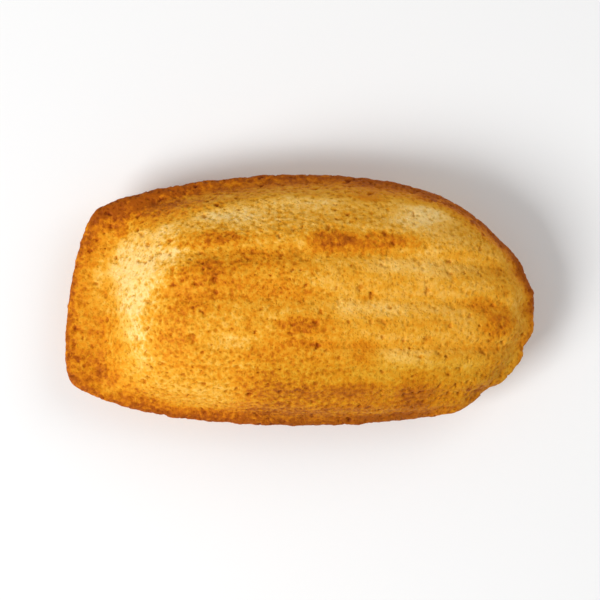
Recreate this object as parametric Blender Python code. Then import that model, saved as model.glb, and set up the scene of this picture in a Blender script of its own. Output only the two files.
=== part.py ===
"""A madeleine: a small sponge cake baked in a shell-shaped mould, one solid lying on its domed back.

Metres, +Z up. X runs from the blunt hinge end to the scalloped fan end and the ribs face up.
The origin is the middle of the cake on the surface that it lies on.
"""

import math

import bmesh
import bpy
from mathutils import Vector

# Heights
SHELL_HEIGHT = 0.0134  # the crown above the rim's upper side
RIM_THICKNESS = 0.0022
BACK_DEPTH = 0.0086  # the rim's lower side above the surface that the back lies on

# The outline is four Bezier curves: their two ends, which are the corners, and their two handles.
# The hinge end is slanted and the fan end is fuller on one side, as the batter ran in the mould.
LOW_SIDE = ((-0.0402, -0.0156), (-0.0290, -0.0240), (0.0050, -0.0248), (0.0265, -0.0209))
HIGH_SIDE = ((-0.0356, 0.0147), (-0.0301, 0.0191), (0.0080, 0.0252), (0.0255, 0.0162))
HINGE_END = (LOW_SIDE[0], (-0.0432, -0.0116), (-0.0402, 0.0112), HIGH_SIDE[0])
FAN_END = (LOW_SIDE[3], (0.0424, -0.0137), (0.0486, 0.0030), HIGH_SIDE[3])

# How the two faces of the cake leave each edge: the width of the flat margin, the way from there
# to full height, and the fullness, which is 1 for an even slope and less for one steep at its foot
SHELL_EDGES = {
    "hinge": (0.0064, 0.0176, 0.85),
    "fan": (0.0008, 0.0450, 0.56),
    "low": (0.0015, 0.0165, 0.65),
    "high": (0.0015, 0.0165, 0.65),
}
BACK_EDGES = {
    "hinge": (0.0010, 0.0310, 0.75),
    "fan": (0.0008, 0.0340, 0.75),
    "low": (0.0008, 0.0158, 0.75),
    "high": (0.0008, 0.0158, 0.75),
}
FILLET = 0.0030  # the way over which the crease beside a margin is filled

# The valleys between the ribs: where each one is, as a share of the way across, how deep it is,
# and how deep a notch it ends in at the fan end
VALLEYS = (0.148, 0.268, 0.368, 0.535, 0.685, 0.835)
VALLEY_DEPTHS = (0.0006, 0.0006, 0.0008, 0.0007, 0.0010, 0.0006)
NOTCH_DEPTHS = (0.0010, 0.0002, 0.0010, 0.0005, 0.0004, 0.0003)
RIB_EDGES = (0.0, *VALLEYS, 1.0)
RIB_COUNT = len(RIB_EDGES) - 1
RIB_ROUNDNESS = 2.0  # the power of a rib's cross-section
NOTCH_REACH = 0.012  # how far in from the fan end the notches pull the surface

# Where the valleys begin, and the way that they take to reach their depth
VALLEY_STARTS = {
    "hinge": (0.0100, 0.0140, 1.00),
    "fan": (0.0000, 0.0060, 1.00),
    "low": (0.0020, 0.0070, 1.00),
    "high": (0.0020, 0.0070, 1.00),
}

# Unevenness
EDGE_ROUNDING = 0.0013  # the width over which the rim's edge is rounded
EDGE_SHARE = 0.25  # the share of the rim's thickness left at its very edge
SWELL = 0.00035  # slow rises and hollows of the crown
RIM_WAVE = 0.0004  # and of the rim

# The grid: cells along the cake, and cells across each rib
CELLS_ALONG = 42
CELLS_PER_RIB = 7
END_CROWDING = 0.62  # how much closer the cells lie at the two ends, from 0 to 1

CRUST = (0.72, 0.32, 0.05, 1.0)


def bezier(curve, t):
    start, first, second, end = (Vector(point) for point in curve)
    s = 1 - t
    return s**3 * start + 3 * s * s * t * first + 3 * s * t * t * second + t**3 * end


def nearest_valley(v):
    """The number of the valley nearest to v, and its hollowness here: 1 in it, 0 on top of a rib."""
    rib = min(sum(v > edge for edge in RIB_EDGES[1:]), RIB_COUNT - 1)
    across = (v - RIB_EDGES[rib]) / (RIB_EDGES[rib + 1] - RIB_EDGES[rib])
    if rib == 0:
        return 0, across**RIB_ROUNDNESS
    if rib == RIB_COUNT - 1:
        return rib - 1, (1 - across) ** RIB_ROUNDNESS
    valley = rib if across > 0.5 else rib - 1
    return valley, abs(2 * across - 1) ** RIB_ROUNDNESS


def notch(v):
    """How a point of the fan end moves inwards where a valley runs out."""
    valley, hollowness = nearest_valley(v)
    centre = (Vector(LOW_SIDE[3]) + Vector(HIGH_SIDE[3])) / 2
    inward = (centre - bezier(FAN_END, v)).normalized()
    return NOTCH_DEPTHS[valley] * hollowness * inward


def plan(u, v):
    """The point at the share u of the way along and v of the way across, blended from the outline."""
    ends = (1 - u) * bezier(HINGE_END, v) + u * bezier(FAN_END, v)
    sides = (1 - v) * bezier(LOW_SIDE, u) + v * bezier(HIGH_SIDE, u)
    low_corners = (1 - u) * Vector(LOW_SIDE[0]) + u * Vector(LOW_SIDE[3])
    high_corners = (1 - u) * Vector(HIGH_SIDE[0]) + u * Vector(HIGH_SIDE[3])
    smooth = ends + sides - (1 - v) * low_corners - v * high_corners
    from_fan = (smooth - bezier(FAN_END, v)).length
    return smooth + max(0.0, 1 - from_fan / NOTCH_REACH) ** 2 * notch(v)


def edge_distances(u, v):
    """The distances to the four edges, along the lines of the grid."""
    here = plan(u, v)
    feet = {"hinge": plan(0, v), "fan": plan(1, v), "low": plan(u, 0), "high": plan(u, 1)}
    return {edge: (here - foot).length for edge, foot in feet.items()}


def dome(distances, edges):
    """1 over the middle, falling to 0 at the margins of the four edges."""
    share = 1.0
    for edge, (margin, run, fullness) in edges.items():
        inward = max(distances[edge] - margin, 0.0)
        filled = min(inward / FILLET, 1.0)
        share *= math.sin(math.pi / 2 * min(inward / run, 1.0)) ** fullness
        share *= filled * filled * (3 - 2 * filled)
    return share


def rounded(distance):
    """The share of the rim's thickness that is left near its edge."""
    inward = min(distance / EDGE_ROUNDING, 1.0)
    return EDGE_SHARE + (1 - EDGE_SHARE) * math.sqrt(1 - (1 - inward) ** 2)


def rim_middle(u, v):
    """The height of the middle of the rim's thickness, which waves a little."""
    wave = math.sin(7.0 * u + 2.0) * math.cos(5.0 * v + 0.6) + 0.5 * math.sin(13.0 * u - 4.0 * v)
    return RIM_WAVE * wave


def shell_height(u, v, distances):
    """The height of the ribbed side above the rim."""
    swell = SWELL * math.sin(9.0 * u + 1.0) * math.cos(7.0 * v - 0.5)
    valley, hollowness = nearest_valley(v)
    depth = VALLEY_DEPTHS[valley] * hollowness * dome(distances, VALLEY_STARTS)
    return (SHELL_HEIGHT + swell) * dome(distances, SHELL_EDGES) - depth


def surface_point(u, v, upper):
    """A point of the ribbed upper side or of the domed back."""
    distances = edge_distances(u, v)
    half = RIM_THICKNESS / 2 * rounded(min(distances.values()))
    back = dome(distances, BACK_EDGES)
    middle = rim_middle(u, v) * (1 - back)
    if upper:
        height = middle + half + shell_height(u, v, distances)
    else:
        height = middle - half - BACK_DEPTH * back
    return Vector((*plan(u, v), height))


def crowded(t):
    """Moves evenly spaced shares of the way along towards the two ends."""
    return t - END_CROWDING * math.sin(2 * math.pi * t) / (2 * math.pi)


def across_ribs(t):
    """Moves evenly spaced shares of the way across so that a line of the grid lies in every valley."""
    rib = min(int(t * RIB_COUNT + 1e-6), RIB_COUNT - 1)
    return RIB_EDGES[rib] + (t * RIB_COUNT - rib) * (RIB_EDGES[rib + 1] - RIB_EDGES[rib])


def slab(bm):
    """A flat grid from -1 to 1, thickened into a closed slab whose upper side is at height 1."""
    cells_across = RIB_COUNT * CELLS_PER_RIB
    bmesh.ops.create_grid(bm, x_segments=CELLS_ALONG, y_segments=cells_across, size=1.0)
    raised = bmesh.ops.extrude_face_region(bm, geom=bm.faces[:], use_keep_orig=True)["geom"]
    raised = [item for item in raised if isinstance(item, bmesh.types.BMVert)]
    bmesh.ops.translate(bm, verts=raised, vec=(0, 0, 1))
    bmesh.ops.recalc_face_normals(bm, faces=bm.faces)


def flatten_foot(bm):
    """Makes the flat spot of the back one face."""
    lowest = min(vert.co.z for vert in bm.verts)
    foot = [face for face in bm.faces if all(vert.co.z - lowest < 1e-7 for vert in face.verts)]
    bmesh.ops.dissolve_faces(bm, faces=foot)


def centre_on_surface(bm):
    """Moves the middle of the cake over the origin and its foot down to it."""
    places = [vert.co for vert in bm.verts]
    low = Vector(min(place[axis] for place in places) for axis in range(3))
    high = Vector(max(place[axis] for place in places) for axis in range(3))
    to_origin = Vector((-(low.x + high.x) / 2, -(low.y + high.y) / 2, -low.z))
    bmesh.ops.translate(bm, verts=bm.verts, vec=to_origin)


def crust_material():
    material = bpy.data.materials.new("baked_crust")
    material.use_nodes = True
    shader = material.node_tree.nodes["Principled BSDF"]
    shader.inputs["Base Color"].default_value = CRUST
    shader.inputs["Roughness"].default_value = 0.75
    shader.inputs["Metallic"].default_value = 0.0
    return material


def make_madeleine(collection):
    bm = bmesh.new()
    slab(bm)
    for vert in bm.verts:
        u = crowded((vert.co.x + 1) / 2)
        v = across_ribs((vert.co.y + 1) / 2)
        vert.co = surface_point(u, v, upper=vert.co.z > 0.5)
    flatten_foot(bm)
    centre_on_surface(bm)
    mesh = bpy.data.meshes.new("madeleine")
    bm.to_mesh(mesh)
    bm.free()
    mesh.shade_smooth()
    mesh.materials.append(crust_material())
    collection.objects.link(bpy.data.objects.new("madeleine", mesh))


def main():
    for scene_object in list(bpy.data.objects):
        bpy.data.objects.remove(scene_object)
    collection = bpy.data.collections.new("madeleine")
    bpy.context.scene.collection.children.link(collection)
    make_madeleine(collection)


main()
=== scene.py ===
import math

import bpy
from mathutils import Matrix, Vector


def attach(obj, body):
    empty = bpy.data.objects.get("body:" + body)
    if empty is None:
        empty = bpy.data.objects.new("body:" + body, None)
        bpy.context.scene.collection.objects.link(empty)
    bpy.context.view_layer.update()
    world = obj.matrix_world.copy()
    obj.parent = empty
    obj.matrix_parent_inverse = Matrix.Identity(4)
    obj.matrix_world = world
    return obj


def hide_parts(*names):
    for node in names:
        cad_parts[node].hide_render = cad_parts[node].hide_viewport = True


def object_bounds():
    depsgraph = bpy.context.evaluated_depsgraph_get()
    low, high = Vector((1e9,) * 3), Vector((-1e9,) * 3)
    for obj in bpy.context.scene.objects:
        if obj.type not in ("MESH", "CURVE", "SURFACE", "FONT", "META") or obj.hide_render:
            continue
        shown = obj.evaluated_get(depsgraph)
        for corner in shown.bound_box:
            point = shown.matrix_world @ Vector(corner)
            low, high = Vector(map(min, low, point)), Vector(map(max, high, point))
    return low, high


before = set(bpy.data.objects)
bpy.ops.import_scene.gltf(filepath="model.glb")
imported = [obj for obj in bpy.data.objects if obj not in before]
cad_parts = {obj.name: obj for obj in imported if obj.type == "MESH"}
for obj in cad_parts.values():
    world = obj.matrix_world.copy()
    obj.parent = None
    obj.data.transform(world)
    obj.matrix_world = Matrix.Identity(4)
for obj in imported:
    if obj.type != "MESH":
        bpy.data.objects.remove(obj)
solid_low, solid_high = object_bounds()


# The sponge: one small cake of flour, butter, eggs and sugar, baked in a shell-shaped mould and
# turned out. Its crust is a fine open crumb full of pinholes, browned most along the thin rim
# and over the crown where it touched the metal, and pale yellow on the slopes between them.
RIM_HEIGHT = 0.0097  # the middle of the rim's thickness, above the surface that the cake lies on
RIM_BAND = 0.0016  # how far from it the rim's outer wall reaches
CROWN = solid_high.z - RIM_HEIGHT  # how far the crown stands above the rim
SKIN_VOXEL = 0.00046  # the cells that the solid's skin is rebuilt from
PIT_DEPTH = 0.00017  # the crumb's pores
PINHOLE_DEPTH = 0.00036  # the larger holes, where bubbles burst
LUMPS = 0.00022  # slow swellings of the crust
GRAIN = 0.00006  # its fine unevenness
RAGGED = 0.00036  # how far the rim's torn edge stands out


def add(tree, kind, sockets=None, **settings):
    """Adds a node, and feeds its sockets with other nodes' outputs or with plain values."""
    node = tree.nodes.new(kind)
    for name, value in settings.items():
        setattr(node, name, value)
    for key, value in (sockets or {}).items():
        if isinstance(value, bpy.types.NodeSocket):
            tree.links.new(value, node.inputs[key])
        else:
            node.inputs[key].default_value = value
    return node


def maths(tree, operation, *terms):
    return add(tree, "ShaderNodeMath", dict(enumerate(terms)), operation=operation).outputs[0]


def vectors(tree, operation, *terms):
    """Arithmetic on vectors, which gives a vector, or a number for a length or a product."""
    result = "Value" if operation in ("DISTANCE", "DOT_PRODUCT", "LENGTH") else "Vector"
    sums = add(tree, "ShaderNodeVectorMath", dict(enumerate(terms)), operation=operation)
    return sums.outputs[result]


def ease(tree, value, start, end, low=0.0, high=1.0):
    """Goes smoothly from low to high while the value goes from start to end."""
    steps = {"Value": value, "From Min": start, "From Max": end, "To Min": low, "To Max": high}
    return add(tree, "ShaderNodeMapRange", steps, interpolation_type="SMOOTHSTEP").outputs[0]


def noise(tree, place, size, detail=2.0):
    """Noise around 0, of about plus and minus a half, with features of the given size."""
    made = add(tree, "ShaderNodeTexNoise", {"Vector": place, "Scale": 1 / size, "Detail": detail})
    return maths(tree, "SUBTRACT", made.outputs[0], 0.5)


def stirred(tree, place, scale, reach):
    """The place, moved by noise so that round shapes turn out uneven.

    It moves by up to the reach along each axis, and by half of that on average.
    """
    drift = add(tree, "ShaderNodeTexNoise", {"Vector": place, "Scale": scale}).outputs["Color"]
    return vectors(tree, "MULTIPLY_ADD", drift, (reach,) * 3, place)


def flattened(tree, place):
    """The place without its height."""
    return vectors(tree, "MULTIPLY", place, (1.0, 1.0, 0.0))


def holes(tree, place, spacing, radius, rarity):
    """1 in the middle of a hole and 0 between the holes, most of which are small if rarity is high."""
    moved = stirred(tree, place, scale=1.4 / spacing, reach=spacing)
    cells = add(tree, "ShaderNodeTexVoronoi", {"Vector": moved, "Scale": 1 / spacing})
    chance = add(tree, "ShaderNodeSeparateXYZ", {0: cells.outputs["Color"]}).outputs[0]
    reach = maths(tree, "MULTIPLY", maths(tree, "POWER", chance, rarity), radius / spacing)
    return ease(tree, cells.outputs["Distance"], reach, maths(tree, "MULTIPLY", reach, 0.35))


def pits(tree, place):
    """The crumb's pores, which cover it."""
    return holes(tree, place, 0.00092, 0.00062, 0.6)


def pinholes(tree, place):
    """The few larger ones, where bubbles burst."""
    return holes(tree, place, 0.0019, 0.00070, 1.2)


BUBBLES = (  # x, y and radius of the burst bubbles that left a mark of their own, in millimetres
    (-14.5, 3.3, 1.0), (-18.3, -6.3, 1.1), (-20.1, 3.3, 0.6), (-21.8, 2.5, 0.7), (-17.7, 2.5, 0.7),
    (-27.3, 11.4, 0.7), (-26.2, 9.6, 0.6), (-26.1, -0.2, 0.6), (-38.9, -5.0, 0.8), (-39.3, -7.7, 0.7),
    (-36.2, -8.0, 0.6), (-35.3, 10.3, 0.7), (-36.5, 8.5, 0.7), (-32.8, 12.8, 0.7), (-23.9, -10.9, 0.6),
    (14.5, 11.5, 0.7), (8.8, 6.0, 0.5), (15.5, -1.3, 0.5), (20.7, -9.8, 0.7), (-11.5, -5.0, 0.6),
    (-26.8, -13.9, 0.8), (3.5, -2.0, 0.6),
)
BUBBLE_STIRRING = 1.2  # how far noise moves their edges, in millimetres


def marks(tree, place):
    """1 in the middle of the burst bubbles of the upper side, and 0 elsewhere."""
    here = flattened(tree, stirred(tree, place, scale=1800.0, reach=BUBBLE_STIRRING / 1000))
    drift = BUBBLE_STIRRING / 2
    total = 0.0
    for x, y, radius in BUBBLES:
        middle = ((x + drift) / 1000, (y + drift) / 1000, 0.0)
        away = vectors(tree, "DISTANCE", here, middle)
        edge = radius / 1100  # in metres, just inside the radius
        core = radius / 5000
        total = maths(tree, "MAXIMUM", ease(tree, away, edge, core), total)
    height = add(tree, "ShaderNodeSeparateXYZ", {0: place}).outputs["Z"]
    return maths(tree, "MULTIPLY", total, ease(tree, height, RIM_HEIGHT - 0.001, RIM_HEIGHT))


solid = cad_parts["madeleine"]
bpy.ops.object.select_all(action="DESELECT")
solid.select_set(True)
bpy.context.view_layer.objects.active = solid
bpy.ops.object.duplicate()
sponge = bpy.context.object
sponge.name = "sponge"
bpy.ops.object.mode_set(mode="EDIT")
bpy.ops.mesh.select_all(action="SELECT")
bpy.ops.mesh.remove_doubles(threshold=1e-6)
bpy.ops.mesh.tris_convert_to_quads(face_threshold=math.radians(60), shape_threshold=math.radians(60))
bpy.ops.object.mode_set(mode="OBJECT")


def finish_with(piece, kind, **settings):
    """Adds a modifier to the piece and applies it."""
    bpy.context.view_layer.objects.active = piece
    modifier = piece.modifiers.new(kind.lower(), kind)
    for name, value in settings.items():
        setattr(modifier, name, value)
    bpy.ops.object.modifier_apply(modifier=modifier.name)


# The facets are rounded off and the skin is rebuilt in even faces, four times as many of them on
# the ribbed side, for its relief
finish_with(sponge, "SUBSURF", levels=2, render_levels=2)
finish_with(sponge, "REMESH", mode="VOXEL", voxel_size=SKIN_VOXEL)
finish_with(sponge, "SMOOTH", factor=0.5, iterations=4)
for face in sponge.data.polygons:
    face.select = face.center.z > RIM_HEIGHT - RIM_BAND / 2
bpy.ops.object.mode_set(mode="EDIT")
bpy.ops.mesh.select_mode(type="FACE")
bpy.ops.mesh.subdivide(number_cuts=1)
bpy.ops.object.mode_set(mode="OBJECT")
finish_with(sponge, "SMOOTH", factor=0.5, iterations=4)

relief = bpy.data.node_groups.new("crumb relief", "GeometryNodeTree")
relief.interface.new_socket("Geometry", in_out="INPUT", socket_type="NodeSocketGeometry")
relief.interface.new_socket("Geometry", in_out="OUTPUT", socket_type="NodeSocketGeometry")
skin = add(relief, "NodeGroupInput").outputs[0]
place = add(relief, "GeometryNodeInputPosition").outputs[0]
facing = add(relief, "GeometryNodeInputNormal").outputs[0]
steepness = add(relief, "ShaderNodeSeparateXYZ", {0: facing}).outputs["Z"]
height = add(relief, "ShaderNodeSeparateXYZ", {0: place}).outputs["Z"]

# How far each point is from the rim's outer wall, measured flat
upright = maths(relief, "LESS_THAN", maths(relief, "ABSOLUTE", steepness), 0.3)
by_rim = maths(relief, "COMPARE", height, RIM_HEIGHT, RIM_BAND)
rim_wall = add(relief, "GeometryNodeSeparateGeometry",
               {"Geometry": skin, "Selection": maths(relief, "MULTIPLY", upright, by_rim)},
               domain="FACE").outputs["Selection"]
from_above = flattened(relief, place)
rim_wall = add(relief, "GeometryNodeSetPosition",
               {"Geometry": rim_wall, "Position": from_above}).outputs[0]
to_rim = add(relief, "GeometryNodeProximity", {0: rim_wall, "Source Position": from_above},
             target_element="FACES")
rim_distance = to_rim.outputs["Distance"]

# How far each point stands out from the blurred shape: ribs are above 0 and valleys below it
blurred = add(relief, "GeometryNodeBlurAttribute", {0: place, "Iterations": 60},
              data_type="FLOAT_VECTOR").outputs[0]
ridge = vectors(relief, "DOT_PRODUCT", vectors(relief, "SUBTRACT", place, blurred), facing)


def store(geometry, name, value, kind):
    """Keeps a value on the mesh's points, for the crust's material to read."""
    return add(relief, "GeometryNodeStoreNamedAttribute",
               {"Geometry": geometry, "Name": name, "Value": value},
               data_type=kind, domain="POINT").outputs[0]


skin = store(skin, "place", place, "FLOAT_VECTOR")
skin = store(skin, "rim", rim_distance, "FLOAT")
skin = store(skin, "ridge", ridge, "FLOAT")

swell = maths(relief, "MULTIPLY", noise(relief, place, 0.0060), LUMPS * 2)
swell = maths(relief, "MULTIPLY_ADD", noise(relief, place, 0.0009), GRAIN * 2, swell)
swell = maths(relief, "MULTIPLY_ADD", pits(relief, place), -PIT_DEPTH, swell)
swell = maths(relief, "MULTIPLY_ADD", pinholes(relief, place), -PINHOLE_DEPTH, swell)
swell = maths(relief, "MULTIPLY_ADD", marks(relief, place), -PINHOLE_DEPTH, swell)
torn = noise(relief, place, 0.0024, 5.0)
at_rim = ease(relief, rim_distance, 0.0012, 0.0)
swell = maths(relief, "MULTIPLY_ADD", maths(relief, "MULTIPLY", torn, at_rim), RAGGED * 2, swell)
moved = add(relief, "ShaderNodeVectorMath", {0: facing, "Scale": swell}, operation="SCALE").outputs[0]
skin = add(relief, "GeometryNodeSetPosition", {"Geometry": skin, "Offset": moved}).outputs[0]

# Nothing bulges down through the surface that the cake lies on
end_place = add(relief, "GeometryNodeInputPosition").outputs[0]
above_floor = vectors(relief, "MAXIMUM", end_place, (-1.0, -1.0, 0.0))
skin = add(relief, "GeometryNodeSetPosition", {"Geometry": skin, "Position": above_floor}).outputs[0]
relief.links.new(skin, add(relief, "NodeGroupOutput").inputs[0])
finish_with(sponge, "NODES", node_group=relief)
finish_with(sponge, "DECIMATE", ratio=0.68)
bpy.ops.object.shade_smooth()


# One patch of deeper or paler browning, used also for a few patches of painted shadow and painted
# reflection: 1 in its middle and 0 outside it
patch = bpy.data.node_groups.new("browning and painted light patch", "ShaderNodeTree")
for name, kind in (("Place", "NodeSocketVector"), ("Middle", "NodeSocketVector"),
                   ("Half size", "NodeSocketVector"), ("Waviness", "NodeSocketFloat")):
    patch.interface.new_socket(name, in_out="INPUT", socket_type=kind)
patch.interface.new_socket("Coverage", in_out="OUTPUT", socket_type="NodeSocketFloat")
given = add(patch, "NodeGroupInput").outputs
away = vectors(patch, "SUBTRACT", given["Place"], given["Middle"])
away = vectors(patch, "LENGTH", flattened(patch, vectors(patch, "DIVIDE", away, given["Half size"])))
away = maths(patch, "ADD", away, given["Waviness"])
patch.links.new(ease(patch, away, 1.15, 0.25), add(patch, "NodeGroupOutput").inputs[0])

crust = bpy.data.materials.new("crust")
crust.use_nodes = True
coat = crust.node_tree
shader = coat.nodes["Principled BSDF"]
place = add(coat, "ShaderNodeAttribute", attribute_name="place").outputs["Vector"]
rim = add(coat, "ShaderNodeAttribute", attribute_name="rim").outputs["Fac"]
ridge = add(coat, "ShaderNodeAttribute", attribute_name="ridge").outputs["Fac"]
along, across, height = add(coat, "ShaderNodeSeparateXYZ", {0: place}).outputs
patchy = noise(coat, place, 0.0080, 3.0)
streaky = add(coat, "ShaderNodeMapping", {"Vector": place, "Scale": (0.28, 1.0, 1.0)}).outputs[0]
streaky = noise(coat, streaky, 0.0030, 3.0)
mottled = noise(coat, place, 0.0024, 3.0)
speckled = noise(coat, place, 0.0008, 3.0)


def uneven(value, by_patchy, by_mottled, by_speckled):
    """Shifts a value by noise of three sizes, so that the browning's borders are uneven."""
    for blotches, amount in ((patchy, by_patchy), (mottled, by_mottled), (speckled, by_speckled)):
        value = maths(coat, "MULTIPLY_ADD", blotches, amount, value)
    return value


# How far in from its edge the rim browns: widest over the flat margin at the hinge end, and
# narrowest round the fan end
hinge_reach = maths(coat, "ADD", ease(coat, across, 0.006, -0.005, 0.0065, 0.0124),
                    ease(coat, across, -0.010, -0.016, 0.0, -0.0060))
upper_reach = ease(coat, along, -0.020, -0.004, 0.0066, 0.0044)
lower_reach = ease(coat, along, -0.022, -0.006, 0.0036, 0.0058)
side_reach = ease(coat, across, -0.004, 0.004, lower_reach, upper_reach)
fan_share = ease(coat, across, -0.013, 0.002, 0.38, 0.56)
side_reach = maths(coat, "MULTIPLY", ease(coat, along, 0.012, 0.027, 1.0, fan_share), side_reach)
rim_reach = ease(coat, along, -0.030, -0.022, hinge_reach, side_reach)
rim_way = uneven(maths(coat, "DIVIDE", rim, rim_reach), 0.25, 0.5, 0.4)

# The rim is brown over that reach and browner still towards its edge, most along the two long
# sides and least on the lobes of the fan end's lower half
full_brown = ease(coat, across, 0.000, 0.008, 0.65, 0.82)
rim_brown = maths(coat, "ADD", ease(coat, rim_way, 1.10, full_brown, 0.0, 0.45),
                  ease(coat, rim_way, 0.75, 0.0, 0.0, 0.29))
on_sides = maths(coat, "MULTIPLY", ease(coat, along, -0.035, -0.027), ease(coat, rim_way, 1.2, 0.6))
rim_brown = maths(coat, "MULTIPLY_ADD", on_sides, 0.14, rim_brown)
rim_brown = maths(coat, "ADD", ease(coat, rim, 0.0018, 0.0003, 0.0, 0.15), rim_brown)
sideways = maths(coat, "MULTIPLY_ADD", patchy, 0.010, across)
at_lobes = maths(coat, "MULTIPLY", ease(coat, along, 0.018, 0.030), ease(coat, sideways, 0.006, -0.012))
rim_brown = maths(coat, "MULTIPLY", rim_brown, maths(coat, "MULTIPLY_ADD", at_lobes, -0.36, 1.0))

# The crown browns beyond a slanted line across the hinge end, less on its upper slope, and more along its
# lower edge, where the extra darkening is partly browning and partly a painted shadow of a neighbouring
# cake
slanted = uneven(maths(coat, "MULTIPLY_ADD", across, -0.36, along), 0.004, 0.006, 0.004)
crown_brown = ease(coat, slanted, -0.0275, -0.0227, 0.03, 0.52)
rise = maths(coat, "DIVIDE", maths(coat, "SUBTRACT", height, RIM_HEIGHT), CROWN)
rise = uneven(rise, 0.25, 0.0, 0.30)
slope_brown = maths(coat, "ADD", ease(coat, rise, 0.50, 0.90, 0.26, 0.52),
                    maths(coat, "ADD", ease(coat, across, 0.010, 0.002, 0.0, 0.5),
                          ease(coat, along, 0.020, 0.032, 0.0, 0.20)))
crown_brown = maths(coat, "MINIMUM", crown_brown, slope_brown)
# Along the lower edge: partly browner and partly painted shadow of a neighbouring cake
low_edge_brown_and_shade = maths(coat, "MULTIPLY", ease(coat, across, -0.011, -0.017), ease(coat, along, -0.014, -0.008))
crown_brown = maths(coat, "MULTIPLY_ADD", low_edge_brown_and_shade, 0.28, crown_brown)

# Over all of it, the valleys between the ribs are a little darker, partly browner and partly painted shade,
# and streaks run along the cake, and single patches are browner or paler than their surroundings; two of
# them are partly painted shadow and one is a painted reflection
brown = maths(coat, "MAXIMUM", rim_brown, crown_brown)
# Darker in the valleys: partly browning and partly painted shade
brown = maths(coat, "MULTIPLY_ADD", ease(coat, ridge, 0.0, -0.00012), 0.10, brown)
brown = maths(coat, "MULTIPLY_ADD", streaky, 0.42, brown)
BROWNING_AND_PAINTED_LIGHT_PATCHES = (  # x, y, half of the length and of the width, in millimetres, and how much browner
    (-29.0, 15.8, 7.5, 2.6, 0.18), (-33.5, 14.0, 4.2, 2.6, 0.26), (-35.8, 9.0, 1.8, 6.0, 0.16),
    (-19.5, 16.0, 5.5, 1.5, 0.12), (-24.5, 10.8, 6.5, 2.8, 0.23), (-15.0, 10.3, 7.2, 2.1, 0.32),
    (-7.0, 6.7, 10.0, 2.5, 0.22), (-6.5, 2.8, 5.5, 3.0, 0.16), (-18.0, 2.8, 8.0, 6.8, 0.21),
    (-12.0, -8.0, 15.0, 8.0, 0.07), (-22.0, -6.0, 4.0, 5.0, 0.10), (-28.0, -10.5, 3.8, 3.2, -0.17),
    # (-36.5, -13.5) is a browner rim and partly a painted shadow of a neighbouring cake
    (-33.0, -8.5, 6.0, 6.0, 0.10), (-36.5, -13.5, 5.0, 3.0, 0.20), (1.5, -4.0, 5.5, 2.1, 0.20),
    # (8.0, -0.6) is paler as a painted reflection
    (1.0, 1.2, 4.0, 4.0, 0.08), (8.0, -0.6, 3.2, 2.6, -0.20), (6.2, 5.2, 3.2, 1.6, -0.12),
    (0.0, -10.0, 13.0, 8.0, 0.11), (19.0, 0.0, 18.0, 13.0, -0.08), (5.0, 10.2, 4.8, 2.2, 0.38),
    (15.5, 9.9, 8.0, 2.0, 0.42), (11.0, 16.0, 7.5, 2.6, 0.20), (11.2, -9.2, 3.0, 2.8, 0.17),
    (20.0, -15.0, 4.0, 4.5, 0.12), (31.0, -1.0, 3.5, 2.2, 0.18), (34.0, -4.0, 4.0, 3.5, 0.28),
    (33.0, -11.0, 3.0, 4.0, 0.10), (-20.5, 7.4, 3.5, 2.0, -0.30), (-11.0, 14.2, 7.0, 2.0, -0.25),
    (4.0, 3.0, 4.5, 1.8, -0.12), (22.0, 5.8, 11.0, 2.4, -0.26), (22.5, -0.5, 5.0, 1.8, -0.12),
    (18.0, -4.2, 9.0, 1.6, 0.12), (15.0, -1.4, 7.5, 2.0, -0.14), (18.5, -9.5, 6.0, 2.0, -0.12),
    # (10.0, -15.5) is partly browner and partly a painted shadow of a neighbouring cake
    (21.5, 14.5, 6.0, 2.6, -0.21), (-12.5, -6.8, 7.5, 2.2, -0.25), (10.0, -15.5, 5.5, 2.5, 0.14),
    (-16.0, -15.2, 7.5, 1.4, -0.08), (-31.2, 1.0, 1.6, 6.0, 0.07), (-27.5, 8.5, 6.0, 3.5, 0.07),
    (-35.0, 4.0, 1.2, 2.0, -0.25),
)
waviness = maths(coat, "MULTIPLY", patchy, 1.5)
# Most patches are browning; the three marked above paint shadow or a reflection
for x, y, half_length, half_width, strength in BROWNING_AND_PAINTED_LIGHT_PATCHES:
    middle = (x / 1000, y / 1000, 0.0)
    half_size = (half_length / 1000, half_width / 1000, 1.0)
    sockets = {"Place": place, "Middle": middle, "Half size": half_size, "Waviness": waviness}
    patch_coverage = add(coat, "ShaderNodeGroup", sockets, node_tree=patch).outputs[0]
    brown = maths(coat, "MULTIPLY_ADD", patch_coverage, strength, brown)

# Burst bubbles, dark dots near the rim, and speckles that are fainter towards the fan end
bubble_marks = marks(coat, place)
brown = maths(coat, "MULTIPLY_ADD", bubble_marks, 0.14, brown)
scorched = maths(coat, "MULTIPLY", holes(coat, place, 0.0022, 0.0009, 1.2), ease(coat, rim, 0.0060, 0.0010))
brown = maths(coat, "MULTIPLY_ADD", scorched, 0.30, brown)
brown = maths(coat, "MULTIPLY_ADD", speckled, ease(coat, along, -0.004, 0.012, 0.90, 0.55), brown)

SHADES = (  # how brown, and its colour: pale yellow crumb, gold, amber and dark brown
    (0.00, (0.97, 0.65, 0.235)),
    (0.25, (0.905, 0.505, 0.095)),
    (0.50, (0.79, 0.362, 0.023)),
    (0.70, (0.71, 0.25, 0.005)),
    (0.85, (0.56, 0.155, 0.002)),
    (1.00, (0.36, 0.080, 0.001)),
)
browned = add(coat, "ShaderNodeValToRGB", {"Fac": brown})
for number, (how_brown, shade) in enumerate(SHADES):
    stops = browned.color_ramp.elements
    stop = stops[number] if number < 2 else stops.new(how_brown)
    stop.position = how_brown
    stop.color = (*shade, 1.0)


def tinted(colour, share, tint):
    """The colour, multiplied by the tint to the share given. Sockets 6 and 7 are the two colours."""
    return add(coat, "ShaderNodeMix", {"Factor": share, 6: colour, 7: (*tint, 1.0)},
               data_type="RGBA", blend_type="MULTIPLY").outputs[2]
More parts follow.
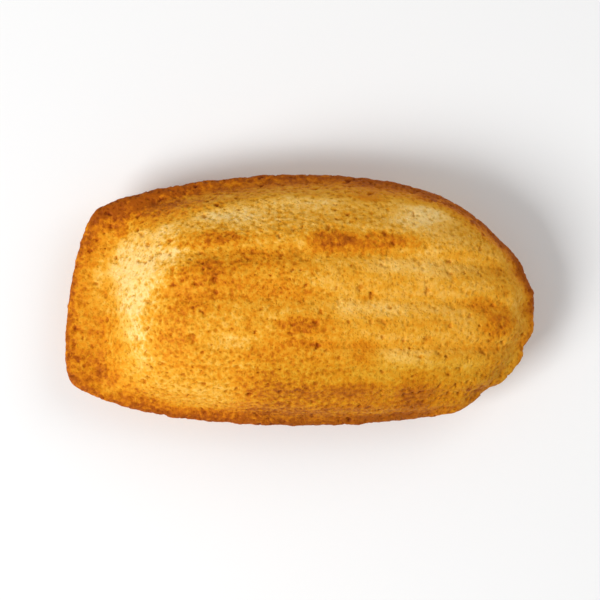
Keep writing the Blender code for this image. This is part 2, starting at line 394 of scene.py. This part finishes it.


# The lower slope's brown is tinted less red, partly as a duller golden brown and partly to go with its
# painted shadow, and holes are darker and yellower than what is round them, their darkness mostly painted
# shade inside them
# Less red on the lower slope: partly golden brown, partly painted shadow
golden_tint_and_shade = maths(coat, "MULTIPLY", ease(coat, across, -0.0080, -0.0125), ease(coat, along, -0.012, -0.003))
colour = tinted(browned.outputs["Color"], golden_tint_and_shade, (0.90, 0.985, 1.0))
fine = holes(coat, place, 0.00045, 0.00024, 0.5)
pores = maths(coat, "MAXIMUM", pits(coat, place), maths(coat, "MULTIPLY", fine, 0.35))
pores = maths(coat, "MULTIPLY", pores, ease(coat, along, 0.000, 0.016, 0.72, 0.50))
# Pores darkened as painted shade inside them, and tinted yellower
colour = tinted(colour, pores, (0.70, 0.57, 0.08))
burst = maths(coat, "MAXIMUM", pinholes(coat, place), maths(coat, "MULTIPLY", bubble_marks, 0.6))
burst = maths(coat, "MULTIPLY", burst, ease(coat, along, 0.000, 0.016, 0.85, 0.55))
# Burst holes darkened as painted shade inside them, and tinted yellower
colour = tinted(colour, burst, (0.62, 0.40, 0.04))
coat.links.new(colour, shader.inputs["Base Color"])

# Browned crust is a little smoother than pale crumb, and all of it is dull
coat.links.new(ease(coat, brown, 0.1, 0.8, 0.80, 0.60), shader.inputs["Roughness"])
micro = maths(coat, "MULTIPLY_ADD", fine, -0.8, noise(coat, place, 0.0004, 3.0))
bump = add(coat, "ShaderNodeBump", {"Height": micro, "Strength": 0.8, "Distance": 0.00012})
coat.links.new(bump.outputs["Normal"], shader.inputs["Normal"])
shader.inputs["Specular IOR Level"].default_value = 0.09
shader.inputs["Subsurface Weight"].default_value = 0.10
shader.inputs["Subsurface Radius"].default_value = (1.0, 0.45, 0.15)
shader.inputs["Subsurface Scale"].default_value = 0.0008
sponge.data.materials.clear()
sponge.data.materials.append(crust)
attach(sponge, "root")
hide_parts("madeleine")


# The stage: a plain pale table top under soft daylight from a large window beyond the hinge end,
# a weaker light across from it that softens the shadows, and a camera that looks straight down.
bpy.ops.mesh.primitive_plane_add(size=3.0)
table_top = bpy.context.object
table_top.name = "table_top"
pale = bpy.data.materials.new("pale_table")
pale.use_nodes = True
surface = pale.node_tree.nodes["Principled BSDF"]
surface.inputs["Base Color"].default_value = (0.86, 0.86, 0.86, 1.0)
surface.inputs["Roughness"].default_value = 0.6
table_top.data.materials.append(pale)

world = bpy.data.worlds.new("soft_room")
bpy.context.scene.world = world
world.use_nodes = True
room = world.node_tree.nodes["Background"]
room.inputs["Color"].default_value = (1.0, 1.0, 1.0, 1.0)
room.inputs["Strength"].default_value = 0.38


def soft_light(name, place, size, power):
    """A square light of the given size that faces the cake."""
    bpy.ops.object.light_add(type="AREA", location=place)
    lamp = bpy.context.object
    lamp.name = name
    lamp.data.size = size
    lamp.data.energy = power
    lamp.rotation_euler = (-Vector(place)).to_track_quat("-Z", "Y").to_euler()


soft_light("window", (-0.45, -0.28, 0.50), 0.35, 4.7)
soft_light("fill", (0.40, 0.30, 0.60), 0.60, 1.6)

bpy.ops.object.camera_add(location=(0.0, 0.0, 0.56), rotation=(0.0, 0.0, 0.0))
camera = bpy.context.object
camera.data.lens = 190.0
camera.data.clip_start = 0.01
bpy.context.scene.camera = camera
bpy.context.scene.view_settings.view_transform = "Standard"
